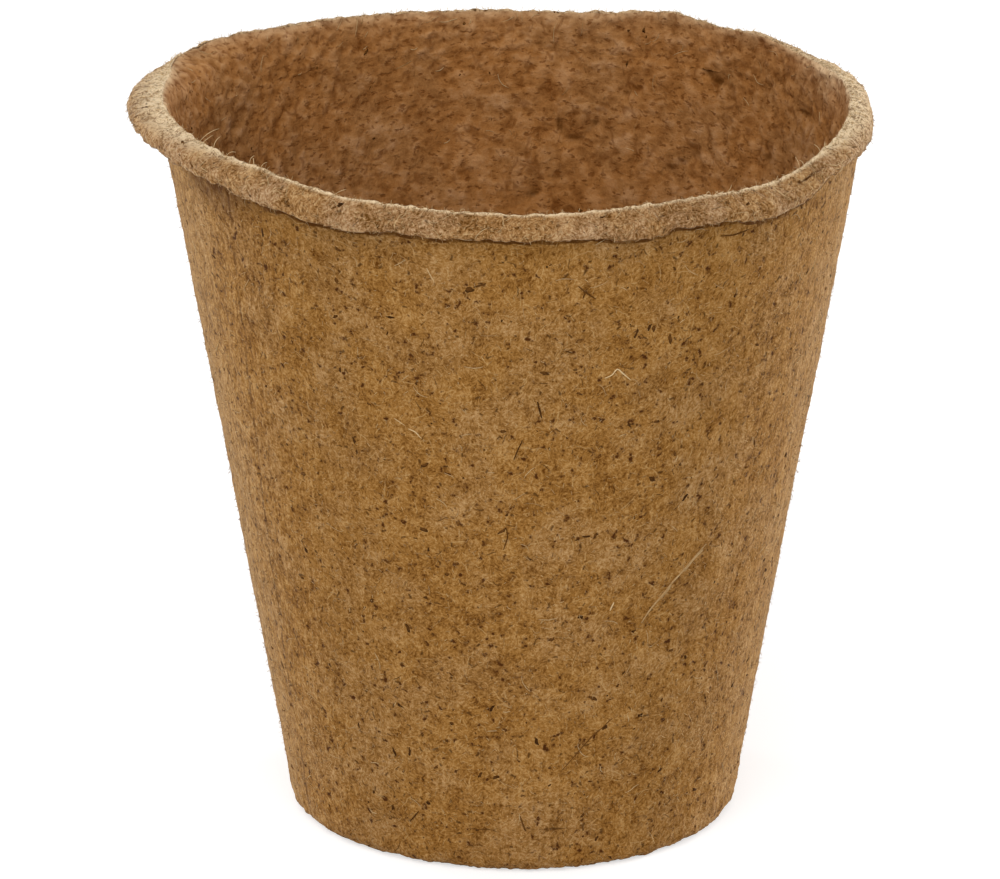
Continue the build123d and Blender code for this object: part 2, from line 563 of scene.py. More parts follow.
def vector(tree, operation, *values):
    return put(tree, "VectorMath", dict(enumerate(values)), operation=operation).outputs[0]


def scaled(tree, place, share):
    return put(tree, "VectorMath", {0: place, "Scale": share}, operation="SCALE").outputs[0]


def painted(tree, label):
    # a value that each point of the mesh carries
    return put(tree, "Attribute", attribute_name=label).outputs["Fac"]


def tint(tree, share, under, over, way="MIX"):
    # lays one colour over another by a share from 0 to 1
    return put(tree, "Mix", {0: share, 6: under, 7: over}, data_type="RGBA", blend_type=way).outputs[2]


def fade(tree, value, low, high, atLow=0.0, atHigh=1.0):
    sockets = {"Value": value, "From Min": low, "From Max": high, "To Min": atLow, "To Max": atHigh}
    return put(tree, "MapRange", sockets, interpolation_type="SMOOTHSTEP").outputs[0]


def cloudy(tree, spot, size, detail=2.0, roughness=0.5):
    # noise whose swellings are about this many mm across
    sockets = {"Vector": spot, "Scale": 1.0 / (size * mm), "Detail": detail, "Roughness": roughness}
    return put(tree, "TexNoise", sockets).outputs["Fac"]


def layer(tree, tone, value, amount):
    # adds a noise to the tone, as much below its middle as above
    return calc(tree, "MULTIPLY_ADD", calc(tree, "SUBTRACT", value, 0.5), amount, tone)


def shifted(tree, place, shift):
    return vector(tree, "ADD", place, (shift, shift * 0.6, 0))


def strands(tree, place, patch, along, across, shift):
    # combed fibre: in each patch the strands lie in a direction of their own (all in mm)
    moved = shifted(tree, place, shift)
    cell = put(tree, "TexVoronoi", {"Vector": moved, "Scale": 1.0 / patch}, voronoi_dimensions="2D")
    chance = put(tree, "SeparateColor", {"Color": cell.outputs["Color"]}).outputs["Red"]
    turn = calc(tree, "MULTIPLY", chance, 2 * math.pi)
    turned = put(tree, "VectorRotate", {"Vector": moved, "Angle": turn}, rotation_type="Z_AXIS").outputs[0]
    drawn = vector(tree, "MULTIPLY", turned, (1 / along, 1 / across, 1))
    combed = put(tree, "TexNoise", {"Vector": drawn, "Scale": 1.0, "Detail": 1.0}, noise_dimensions="2D")
    return combed.outputs["Fac"]


def makeMarks():
    # node group: one short mark in each cell, at its own angle and length, with a slight bow (all in mm)
    tree = bpy.data.node_groups.new("short_marks", "ShaderNodeTree")
    tree.interface.new_socket("Place", in_out="INPUT", socket_type="NodeSocketVector")
    for label in ("Spacing", "Length", "Width", "Share", "Bow"):
        tree.interface.new_socket(label, in_out="INPUT", socket_type="NodeSocketFloat")
    tree.interface.new_socket("Mark", in_out="OUTPUT", socket_type="NodeSocketFloat")
    given = tree.nodes.new("NodeGroupInput").outputs
    result = tree.nodes.new("NodeGroupOutput")
    place = scaled(tree, given["Place"], calc(tree, "DIVIDE", 1.0, given["Spacing"]))
    cell = put(tree, "TexVoronoi", {"Vector": place, "Scale": 1.0}, voronoi_dimensions="2D").outputs
    away = scaled(tree, vector(tree, "SUBTRACT", place, cell["Position"]), given["Spacing"])
    chance = put(tree, "SeparateColor", {"Color": cell["Color"]}).outputs
    angle = calc(tree, "MULTIPLY", chance["Red"], 2 * math.pi)
    turned = put(tree, "VectorRotate", {"Vector": away, "Angle": angle}, rotation_type="Z_AXIS").outputs[0]
    axes = put(tree, "SeparateXYZ", {"Vector": turned}).outputs
    bow = calc(tree, "MULTIPLY", calc(tree, "SUBTRACT", chance["Blue"], 0.5), given["Bow"])
    bow = calc(tree, "MULTIPLY", calc(tree, "MULTIPLY", axes["X"], axes["X"]), bow)
    along = calc(tree, "ABSOLUTE", axes["X"])
    across = calc(tree, "ABSOLUTE", calc(tree, "ADD", axes["Y"], bow))
    share = calc(tree, "MULTIPLY_ADD", chance["Blue"], 0.65, 0.35)
    length = calc(tree, "MULTIPLY", given["Length"], share)
    ends = fade(tree, along, calc(tree, "MULTIPLY", length, 0.5), length, 1.0, 0.0)
    sides = fade(tree, across, calc(tree, "MULTIPLY", given["Width"], 0.2), given["Width"], 1.0, 0.0)
    there = calc(tree, "LESS_THAN", chance["Green"], given["Share"])
    mark = calc(tree, "MULTIPLY", calc(tree, "MULTIPLY", ends, sides), there)
    tree.links.new(mark, result.inputs["Mark"])
    return tree


shortMarks = makeMarks()


def marks(tree, place, spacing, length, width, share, bow, shift):
    sockets = {"Place": shifted(tree, place, shift), "Spacing": spacing, "Length": length, "Width": width,
               "Share": share, "Bow": bow}
    return put(tree, "Group", sockets, node_tree=shortMarks).outputs["Mark"]


# three faces of the same fibre: the side that lay on the screen, the free side, and the folded lip
looks = {
    "screen_side": {
        "dark": (0.112, 0.037, 0.003, 1), "mid": (0.297, 0.138, 0.030, 1), "light": (0.475, 0.268, 0.094, 1),
        "blush": (1.02, 1.09, 1.40, 1), "blushShare": 0.75,
        "cloud": 0.18, "mottle": 0.38, "lumps": 0.40, "lumpDetail": 1.0,
        "strand": 0.58, "grain": 0.74, "relief": 0.06,
        "speck": (0.066, 0.019, 0.002, 1), "speckFrom": 0.555, "specks": 1.0,
        "fleck": (0.050, 0.018, 0.003, 1), "flecks": 0.75,
        "pale": (0.540, 0.350, 0.150, 1), "paleFibres": 0.45,
        "print": 0.035, "pits": 0.0, "flatness": 1.0, "sheen": 0.16, "bump": 0.9,
    },
    "felt_side": {
        "dark": (0.130, 0.036, 0.003, 1), "mid": (0.346, 0.147, 0.040, 1), "light": (0.520, 0.272, 0.112, 1),
        "blush": (1.02, 1.12, 1.35, 1), "blushShare": 0.80,
        "cloud": 0.16, "mottle": 0.38, "lumps": 0.72, "lumpDetail": 1.6,
        "strand": 0.14, "grain": 0.04, "relief": 0.20,
        "speck": (0.125, 0.036, 0.003, 1), "speckFrom": 0.640, "specks": 0.60,
        "fleck": (0.060, 0.020, 0.003, 1), "flecks": 0.35,
        "pale": (0.500, 0.290, 0.125, 1), "paleFibres": 0.20,
        "print": 0.0, "pits": 0.70, "flatness": 1.5, "sheen": 0.0, "bump": 0.45,
    },
    "folded_lip": {
        "dark": (0.115, 0.044, 0.006, 1), "mid": (0.318, 0.160, 0.055, 1), "light": (0.520, 0.320, 0.145, 1),
        "blush": (1.02, 1.10, 1.40, 1), "blushShare": 0.80,
        "cloud": 0.22, "mottle": 0.46, "lumps": 0.58, "lumpDetail": 1.0,
        "strand": 0.76, "grain": 0.98, "relief": 0.10,
        "speck": (0.080, 0.028, 0.003, 1), "speckFrom": 0.575, "specks": 1.0,
        "fleck": (0.056, 0.022, 0.004, 1), "flecks": 0.70,
        "pale": (0.640, 0.450, 0.230, 1), "paleFibres": 0.50,
        "print": 0.0, "pits": 0.0, "flatness": 1.0, "sheen": 0.40, "bump": 1.0,
    },
}
ridgeWearAndHighlight = (0.830, 0.645, 0.410, 1)      # rubbed, bleached fibre and a painted highlight on the top edge
# colour of the painted shade
creaseColour = (0.085, 0.026, 0.002, 1)
meshPitch = 1.06                             # mm between the wires of the forming screen
sheenTint = (1.0, 0.86, 0.62, 1)

# patterns that the three faces share, in mm
fibre = {
    "cloudSize": 12.0, "mottleSize": 3.0, "lumpSize": 1.6,
    "grainSize": 0.42, "crumbSize": 0.84, "pitSize": 0.9,
    # combed strands: patch, length, width, and a shift that keeps them apart
    "coarse": (1.5, 0.60, 0.27, 0.0),
    "fine": (0.9, 0.42, 0.17, 23.0),
    # short marks: spacing, length, width, share of the places, bow, and a shift
    "hairs": (1.5, 0.70, 0.070, 0.75, 0.5, 3.0),
    "threads": (4.2, 1.9, 0.085, 0.45, 0.3, 17.0),
    "splinters": (2.6, 0.50, 0.20, 0.50, 0.3, 47.0),
    "needles": (3.9, 1.00, 0.10, 0.35, 0.5, 59.0),
    # how high each stands in the fine relief
    "grainHeight": 0.15, "strandHeight": 0.08, "speckHeight": -0.05, "wireHeight": 0.014,
    "lumpHeight": 0.60, "pitHeight": -0.25,
}

# the line where the forming screen's edges met, down the outside at the left, and the sides of the pot, which
# get painted sheen and stronger streaks
seam = {
    "atFoot": -65.8,         # azimuth in degrees at the foot
    "turn": 144.3,           # degrees further round for each metre up
    "halfWidth": 0.34,       # mm
    "colour": (0.085, 0.028, 0.003, 1),
    "edgeSheenColour": (0.480, 0.310, 0.140, 1),
    "edgeSheenShare": 0.18,
    "pale": (50, 80, 0.75),      # azimuths where the painted sheen starts and is full, its share at the right
    "grazingStreaks": (34, 62, 0.35),  # the same for the stronger streaks, painted grazing light and shade
    "streaks": (2200.0, 2200.0, 750.0),    # streaks to the metre, round and up
    "sidesEnd": (104, 134),      # azimuths where both fade and are gone
}


def screenPrint(tree, sheet):
    # the forming screen's wires, pressed into the outside in patches
    axes = put(tree, "SeparateXYZ", {"Vector": sheet}).outputs
    turn = 2 * math.pi / meshPitch
    warp = calc(tree, "COSINE", calc(tree, "MULTIPLY", axes["X"], turn))
    weft = calc(tree, "COSINE", calc(tree, "MULTIPLY", axes["Y"], turn))
    patch = put(tree, "TexNoise", {"Vector": sheet, "Scale": 0.055, "Detail": 2.0}).outputs["Fac"]
    clear = fade(tree, patch, 0.38, 0.66, 0.25, 1.0)
    wires = calc(tree, "MULTIPLY_ADD", weft, 0.7, warp)
    return calc(tree, "MULTIPLY", wires, clear)


def fromSeam(tree, spot):
    # mm round the outside from the screen's seam, positive to the right of it, and the azimuth
    axes = put(tree, "SeparateXYZ", {"Vector": spot}).outputs
    azimuth = calc(tree, "ARCTAN2", axes["X"], calc(tree, "MULTIPLY", axes["Y"], -1.0))
    foot, turn = math.radians(seam["atFoot"]), math.radians(seam["turn"])
    line = calc(tree, "MULTIPLY_ADD", axes["Z"], turn, foot)
    away = calc(tree, "MULTIPLY", calc(tree, "SUBTRACT", azimuth, line), outerRadius(rimLevel / 2))
    return layer(tree, away, cloudy(tree, spot, 7.0), 2.4), azimuth


def onSides(tree, azimuth, start, full, rightShare):
    # 0 at the front, 1 on the left side of the pot, less on the right side, and 0 again at the back
    turn = calc(tree, "ABSOLUTE", azimuth)
    end, gone = (math.radians(angle) for angle in seam["sidesEnd"])
    side = calc(tree, "MULTIPLY", fade(tree, turn, math.radians(start), math.radians(full)),
                fade(tree, turn, end, gone, 1.0, 0.0))
    return calc(tree, "MULTIPLY", side, fade(tree, azimuth, -0.2, 0.2, 1.0, rightShare))


def fibreMaterial(name):
    look = looks[name]
    material, tree, shader = newMaterial(name)
    spot = put(tree, "TexCoord").outputs["Object"]
    sheet = put(tree, "UVMap", uv_map="sheet").outputs["UV"]

    # marks on the sheet follow slightly wavering lines
    waver = put(tree, "TexNoise", {"Vector": spot, "Scale": 900.0, "Detail": 2.0}).outputs["Color"]
    waver = scaled(tree, vector(tree, "SUBTRACT", waver, (0.5, 0.5, 0.5)), 0.7)
    place = vector(tree, "ADD", sheet, waver)

    # tone: slow clouds, lumps of pulp, combed strands and grain
    squat = vector(tree, "MULTIPLY", spot, (1.0, 1.0, look["flatness"]))
    grain = cloudy(tree, spot, fibre["grainSize"], 2.0, 0.7)
    coarse = strands(tree, place, *fibre["coarse"])
    fine = strands(tree, place, *fibre["fine"])
    lumps = cloudy(tree, squat, fibre["lumpSize"], look["lumpDetail"], 0.6)
    # the tone follows the relief, lighter on the lumps and darker in the hollows: partly painted shade
    tone = calc(tree, "MULTIPLY_ADD", painted(tree, "relief"), look["relief"], 0.5)
    tone = layer(tree, tone, cloudy(tree, spot, fibre["cloudSize"]), look["cloud"])
    tone = layer(tree, tone, cloudy(tree, squat, fibre["mottleSize"]), look["mottle"])
    for pattern, amount in ((lumps, "lumps"), (coarse, "strand"), (fine, "strand"), (grain, "grain")):
        tone = layer(tree, tone, pattern, look[amount])
    wires = screenPrint(tree, sheet) if look["print"] else None
    if wires:
        tone = calc(tree, "MULTIPLY_ADD", wires, look["print"], tone)
        fromLine, azimuth = fromSeam(tree, spot)
        # streaks, stronger at the sides: painted grazing light and shade there
        grazingStreaks = onSides(tree, azimuth, *seam["grazingStreaks"])
        drawn = vector(tree, "MULTIPLY", spot, seam["streaks"])
        streaks = put(tree, "TexNoise", {"Vector": drawn, "Scale": 1.0, "Detail": 2.0}).outputs["Fac"]
        tone = layer(tree, tone, streaks, calc(tree, "MULTIPLY_ADD", grazingStreaks, 0.75, 0.25))
    colours = put(tree, "ValToRGB", {"Fac": tone})
    darkEnd, lightEnd = colours.color_ramp.elements
    darkEnd.position, darkEnd.color = 0.12, look["dark"]
    lightEnd.position, lightEnd.color = 0.88, look["light"]
    colours.color_ramp.elements.new(0.50).color = look["mid"]
    blush = fade(tree, cloudy(tree, spot, 7.5, 3.0), 0.42, 0.62, 0.0, look["blushShare"])
    colour = tint(tree, blush, colours.outputs["Color"], look["blush"], "MULTIPLY")
    if wires:
        # the sides turn paler: painted sheen where the surface turns away
        pale = calc(tree, "MULTIPLY", onSides(tree, azimuth, *seam["pale"]), seam["edgeSheenShare"])
        colour = tint(tree, pale, colour, seam["edgeSheenColour"])
        line = fade(tree, calc(tree, "ABSOLUTE", fromLine), 0.0, seam["halfWidth"], 0.85, 0.0)
        line = calc(tree, "MULTIPLY", line, fade(tree, cloudy(tree, spot, 3.5), 0.36, 0.60, 0.1, 1.0))
        colour = tint(tree, line, colour, seam["colour"])

    # pale fibres and the rubbed top edge with its painted highlight, then specks of bark in several sizes
    hairs, threads = marks(tree, place, *fibre["hairs"]), marks(tree, place, *fibre["threads"])
    pale = calc(tree, "MULTIPLY", calc(tree, "MAXIMUM", hairs, threads), look["paleFibres"])
    colour = tint(tree, pale, colour, look["pale"])
    ridge = painted(tree, "ridge")
    wearAndHighlight = calc(tree, "MULTIPLY", ridge, fade(tree, tone, 0.18, 0.60, 0.25, 0.98))
    colour = tint(tree, wearAndHighlight, colour, ridgeWearAndHighlight)
    crumbs = cloudy(tree, spot, fibre["crumbSize"], 2.5, 0.6)
    crumbs = layer(tree, crumbs, cloudy(tree, spot, 5.0), 0.15)
    start, share = look["speckFrom"], 0.5 * look["specks"]
    faint = fade(tree, crumbs, start, start + 0.11, 0.0, share)
    bold = fade(tree, crumbs, start + 0.08, start + 0.15, 0.0, share)
    specks = calc(tree, "MULTIPLY", calc(tree, "ADD", faint, bold), fade(tree, ridge, 0.0, 1.0, 1.0, 0.60))
    colour = tint(tree, specks, colour, look["speck"])
    splinters, needles = marks(tree, place, *fibre["splinters"]), marks(tree, place, *fibre["needles"])
    dark = calc(tree, "MULTIPLY", calc(tree, "MAXIMUM", splinters, needles), look["flecks"])
    colour = tint(tree, dark, colour, look["fleck"])

    # fine relief: grain and strands, the print, and on the free side lumps parted by short cracks and pits
    height = calc(tree, "MULTIPLY", grain, fibre["grainHeight"])
    height = calc(tree, "MULTIPLY_ADD", coarse, fibre["strandHeight"], height)
    height = calc(tree, "MULTIPLY_ADD", specks, fibre["speckHeight"], height)
    if wires:
        height = calc(tree, "MULTIPLY_ADD", wires, fibre["wireHeight"], height)
    if look["pits"]:
        swirl = put(tree, "TexNoise", {"Vector": spot, "Scale": 480.0, "Detail": 1.0}).outputs["Color"]
        bent = vector(tree, "MULTIPLY_ADD", swirl, (4.0, 4.0, 4.0), place)
        cells = put(tree, "TexVoronoi", {"Vector": bent, "Scale": 1.0 / 2.7}, voronoi_dimensions="2D",
                    feature="DISTANCE_TO_EDGE").outputs["Distance"]
        parted = fade(tree, cloudy(tree, spot, 2.3), 0.49, 0.62)
        cracks = calc(tree, "MULTIPLY", fade(tree, cells, 0.0, 0.24, 0.72 * look["pits"], 0.0), parted)
        pits = fade(tree, cloudy(tree, squat, fibre["pitSize"], 2.0, 0.5), 0.550, 0.720, 0.0, look["pits"])
        pits = calc(tree, "MAXIMUM", pits, cracks)
        # the pits and cracks are darkened: painted shade in the hollows
        colour = tint(tree, pits, colour, look["dark"])
        height = calc(tree, "MULTIPLY_ADD", lumps, fibre["lumpHeight"], height)
        height = calc(tree, "MULTIPLY_ADD", pits, fibre["pitHeight"], height)
    # painted shade under the lip, in the crevices and in the dents, broken up by noise
    crease = fade(tree, painted(tree, "crease"), 0.25, 0.70)
    paintedShadeShare = calc(tree, "MULTIPLY", crease, fade(tree, cloudy(tree, spot, 2.2), 0.36, 0.56, 0.45, 0.90))
    colour = tint(tree, paintedShadeShare, colour, creaseColour)
    tree.links.new(colour, shader.inputs["Base Color"])
    bumpNode = put(tree, "Bump", {"Height": height, "Distance": mm, "Strength": look["bump"]})
    tree.links.new(bumpNode.outputs["Normal"], shader.inputs["Normal"])
    tree.links.new(fade(tree, tone, 0.2, 0.8, 0.98, 0.86), shader.inputs["Roughness"])
    shader.inputs["Specular IOR Level"].default_value = 0.08
    shader.inputs["Sheen Weight"].default_value = look["sheen"]
    shader.inputs["Sheen Roughness"].default_value = 0.28
    shader.inputs["Sheen Tint"].default_value = sheenTint
    return material


for shell in shells:
    for finish in finishes:
        shell.data.materials.append(bpy.data.materials.get(finish) or fibreMaterial(finish))
print("shells dressed")


def onSkin(skin, row, column):
    # a point of a finished surface and its normal, between the grid's points
    grid, normals = skins[skin]
    row = min(max(row, 0.0), grid.shape[0] - 1.001)
    i, j = int(row), int(math.floor(column)) % grid.shape[1]
    s, t = row - i, column - math.floor(column)
    k = (j + 1) % grid.shape[1]
    shares = ((1 - s) * (1 - t), s * (1 - t), (1 - s) * t, s * t)
    spots = ((i, j), (i + 1, j), (i, k), (i + 1, k))
    point = sum(grid[p] * w for p, w in zip(spots, shares))
    normal = sum(normals[p] * w for p, w in zip(spots, shares))
    return Vector(point), Vector(normal).normalized()


def skinSteps(skin, row, column):
    # mm per row and per column at this place
    grid = skins[skin][0]
    i = min(max(int(row), 0), grid.shape[0] - 2)
    j = int(column) % grid.shape[1]
    down = np.linalg.norm(grid[i + 1, j] - grid[i, j])
    along = np.linalg.norm(grid[i, (j + 1) % grid.shape[1]] - grid[i, j])
    return max(down, 0.02), max(along, 0.02)


def columnAt(skin, azimuth):
    return (azimuth + 180.0) / 360.0 * skins[skin][0].shape[1]


def rowAt(skin, level):
    # the row at this level of the wall; on the lip the row itself is given
    if skin == "outside":
        return (level - heelLevel) / (collarLevel - heelLevel) * (cup["outerRows"] - 1)
    if skin == "inside":
        return np.interp(-level, -innerLevels(), np.arange(cup["innerRows"]))
    return level


def newHeap():
    # points, faces and tones of many small things that become one mesh
    return {"points": [], "faces": [], "tones": []}


def addTo(heap, thing, tone):
    points, faces = thing
    start = len(heap["points"])
    heap["points"] += points
    heap["faces"] += [tuple(v + start for v in face) for face in faces]
    heap["tones"] += [tone] * len(points)


def heapPiece(heap, name, material):
    mesh = bpy.data.meshes.new(name)
    mesh.from_pydata([p * mm for p in heap["points"]], [], heap["faces"])
    tones = mesh.attributes.new("tone", "FLOAT", "POINT")
    tones.data.foreach_set("value", heap["tones"])
    mesh.polygons.foreach_set("use_smooth", [True] * len(mesh.polygons))
    mesh.update()
    mesh.materials.append(material)
    piece = newObject(name, mesh)
    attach(piece, "root")
    print(name, "made,", len(mesh.polygons), "faces")


def tube(path, normals, thickness, sides):
    # a tapering fibre along a path, closed at both ends
    points, faces = [], []
    count = len(path)
    for i, (spot, up) in enumerate(zip(path, normals)):
        ahead = (path[min(i + 1, count - 1)] - path[max(i - 1, 0)]).normalized()
        across = ahead.cross(up)
        if across.length < 1e-4:
            across = ahead.orthogonal()
        across.normalize()
        lift = across.cross(ahead).normalized()
        share = min(max(i / (count - 1), 0.04), 0.96)
        radius = thickness / 2 * (0.25 + 0.75 * math.sin(math.pi * share) ** 0.5)
        for k in range(sides):
            turn = 2 * math.pi * k / sides
            points.append(spot + (across * math.cos(turn) + lift * math.sin(turn)) * radius)
    for i in range(count - 1):
        for k in range(sides):
            a, b = i * sides + k, i * sides + (k + 1) % sides
            faces.append((a, b, b + sides, a + sides))
    faces.append(tuple(range(sides))[::-1])
    faces.append(tuple(range((count - 1) * sides, count * sides)))
    return points, faces


def layFibre(skin, row, column, angle, length, thickness, curl, lift, draw, steps=7, sides=4):
    # a fibre lying on a surface, bending as it goes; lift raises its far end clear of the surface
    path, normals = [], []
    heading = angle
    step = length / (steps - 1)
    for i in range(steps):
        point, normal = onSkin(skin, row, column)
        path.append(point + normal * (thickness * 0.15 + lift * (i / (steps - 1)) ** 2))
        normals.append(normal)
        down, along = skinSteps(skin, row, column)
        row += math.sin(heading) * step / down
        column += math.cos(heading) * step / along
        heading += curl / (steps - 1) + draw.uniform(-0.15, 0.15)
    return tube(path, normals, thickness, sides)


def traceFibre(skin, places, thickness, sink=0.0, steps=14, sides=6):
    # a fibre on the wall through chosen places (azimuth, level)
    keys = [np.array(p, dtype=float) for p in places]
    rows = throughKeys(keys, [max(steps // (len(keys) - 1), 2)] * (len(keys) - 1))
    path, normals = [], []
    for azimuth, level in rows:
        point, normal = onSkin(skin, rowAt(skin, level), columnAt(skin, azimuth))
        path.append(point + normal * (thickness * 0.15 - sink))
        normals.append(normal)
    return tube(path, normals, thickness, sides)


def standHair(skin, row, column, length, thickness, lean, side, curl, swing, steps=5, sides=3):
    # a hair that stands off a surface: lean from the normal and side round it, and how far both
    # turn by the hair's end, in degrees
    point, normal = onSkin(skin, row, column)
    ahead = (onSkin(skin, row, column + 0.5)[0] - point).normalized()
    across = normal.cross(ahead)
    path = [point - normal * 0.06]
    for i in range(steps - 1):
        share = i / (steps - 1)
        tilt, turn = math.radians(lean + curl * share), math.radians(side + swing * share)
        flat = ahead * math.cos(turn) + across * math.sin(turn)
        path.append(path[-1] + (normal * math.cos(tilt) + flat * math.sin(tilt)) * (length / (steps - 1)))
    if min(p.z for p in path) < 0.05:
        return [], []        # nothing reaches under the floor
    return tube(path, [flat.cross(normal)] * steps, thickness, sides)


def barkChip(skin, row, column, angle, length, width, draw, around=11):
    # a flat ragged chip bedded in the surface
    point, normal = onSkin(skin, row, column)
    down, along = skinSteps(skin, row, column)
    ring = []
    for k in range(around):
        turn = 2 * math.pi * k / around
        size = draw.uniform(0.55, 1.2)
        x, y = math.cos(turn) * length / 2 * size, math.sin(turn) * width / 2 * size
        du = x * math.cos(angle) - y * math.sin(angle)
        dv = x * math.sin(angle) + y * math.cos(angle)
        edge, edgeNormal = onSkin(skin, row + dv / down, column + du / along)
        ring.append(edge + edgeNormal * 0.004)
    points = ring + [point + normal * 0.03, point - normal * 0.05]
    faces = [(k, (k + 1) % around, around) for k in range(around)]
    faces += [((k + 1) % around, k, around + 1) for k in range(around)]
    return points, faces


def toneMaterial(name, dark, light, sheen):
    # small things whose colour runs from dark to light by their own tone
    material, tree, shader = newMaterial(name)
    grain = cloudy(tree, put(tree, "TexCoord").outputs["Object"], 0.38)
    mixed = layer(tree, painted(tree, "tone"), grain, 0.7)
    tree.links.new(tint(tree, mixed, dark, light), shader.inputs["Base Color"])
    bumpNode = put(tree, "Bump", {"Height": grain, "Distance": mm * 0.05, "Strength": 0.7})
    tree.links.new(bumpNode.outputs["Normal"], shader.inputs["Normal"])
    tree.links.new(fade(tree, grain, 0.3, 0.7, 0.95, 0.75), shader.inputs["Roughness"])
    shader.inputs["Specular IOR Level"].default_value = 0.05
    shader.inputs["Sheen Weight"].default_value = sheen
    shader.inputs["Sheen Tint"].default_value = sheenTint
    return material


bark = {
    "dark": (0.034, 0.012, 0.002, 1), "light": (0.150, 0.060, 0.012, 1),
    "counts": {"outside": 700, "lip": 120, "inside": 220, "heel": 40, "floor": 50},
    "tones": {"outside": (0.1, 0.8), "lip": (0.6, 1.0), "inside": (0.5, 1.0), "heel": (0.1, 0.8),
              "floor": (0.5, 1.0)},
    "length": (0.34, 1.2),   # mm, the shortest and how much longer the longest are
    # chips at chosen places: surface, azimuth, level on the wall or row on the lip, length, width, angle, tone
    "placed": [
        ("outside", -7.3, 79.0, 1.4, 0.8, 25, 0.60), ("outside", 34.9, 49.2, 1.2, 0.45, 50, 0.05),
        ("outside", 29.8, 20.3, 0.9, 0.6, 10, 0.15), ("outside", 37.5, 11.9, 0.9, 0.5, 40, 0.2),
        ("outside", 13.8, 35.1, 0.7, 0.5, 0, 0.15), ("outside", 25.9, 32.2, 0.7, 0.4, 20, 0.2),
        ("outside", -4.7, 22.9, 1.1, 0.55, 50, 0.0), ("outside", -21.1, 9.0, 0.9, 0.55, -55, 0.05),
        ("outside", 21.2, 72.6, 1.5, 0.40, 75, 0.35), ("outside", -32.0, 66.5, 0.9, 0.4, 70, 0.3),
        ("lip", -28.3, 53, 1.1, 0.55, 20, 0.1), ("lip", -82.5, 53, 1.2, 0.9, 60, 0.5),
        ("lip", -80.0, 44, 1.0, 0.6, 120, 0.6), ("lip", 14.0, 55, 0.8, 0.3, 10, 0.3),
        ("lip", 39.5, 48, 0.9, 0.35, 20, 0.4), ("outside", 40.5, 82.9, 0.7, 0.3, 80, 0.3),
        ("outside", -7.8, 13.6, 1.0, 0.5, 70, 0.35), ("outside", -4.2, 13.4, 0.9, 0.5, 15, 0.4),
        ("outside", 11.8, 2.6, 1.1, 0.6, 60, 0.65), ("outside", 21.1, 19.5, 0.8, 0.5, 30, 0.35),
        ("outside", -15.3, 18.1, 0.7, 0.4, 80, 0.45), ("outside", 17.2, 7.6, 0.8, 0.4, 40, 0.45),
    ],
    # needles at chosen places on the outside: azimuths and levels, thickness, tone
    "needles": [
        ([(0.0, 56.6), (0.8, 58.0), (1.6, 59.2)], 0.16, 0.25),
        ([(4.2, 64.3), (4.6, 63.2), (5.0, 62.1)], 0.22, 0.15),
        ([(10.6, 79.4), (12.1, 78.4), (13.6, 77.6)], 0.20, 0.55), ([(11.4, 77.8), (12.0, 79.0)], 0.2, 0.6),
        ([(-6.6, 79.4), (-4.6, 79.9)], 0.24, 0.5), ([(-26.6, 5.9), (-25.2, 6.7), (-23.8, 7.6)], 0.18, 0.3),
        ([(22.8, 20.6), (17.4, 18.0), (11.4, 14.1)], 0.13, 0.75), ([(8.8, 71.0), (10.2, 70.6)], 0.16, 0.4),
        ([(-2.0, 44.5), (-1.2, 46.2), (-1.4, 47.4)], 0.15, 0.5),
        ([(35.6, 83.5), (38.6, 83.2), (41.6, 83.4)], 0.2, 0.7),
        ([(1.6, 8.0), (2.6, 6.4), (3.2, 5.6)], 0.20, 0.6), ([(7.6, 5.4), (8.4, 4.6)], 0.2, 0.6),
    ],
}


def scatterBark():
    draw = random.Random(41)
    heap = newHeap()
    shortest, longer = bark["length"]
    for skin, count in bark["counts"].items():
        rows, columns = skins[skin][0].shape[:2]
        for n in range(count):
            row, column = draw.uniform(0, rows - 1), draw.uniform(0, columns)
            length = shortest + longer * draw.random() ** 4
            width = min(length * draw.uniform(0.25, 0.8), 0.5)
            addTo(heap, barkChip(skin, row, column, draw.uniform(0, math.pi), length, width, draw),
                  draw.uniform(*bark["tones"][skin]))
    for skin, azimuth, level, length, width, angle, tone in bark["placed"]:
        spot = rowAt(skin, level), columnAt(skin, azimuth)
        addTo(heap, barkChip(skin, *spot, math.radians(angle), length, width, draw), tone)
    for places, thickness, tone in bark["needles"]:
        addTo(heap, traceFibre("outside", places, thickness), tone)
    heapPiece(heap, "bark_chips", toneMaterial("bark", bark["dark"], bark["light"], 0.0))


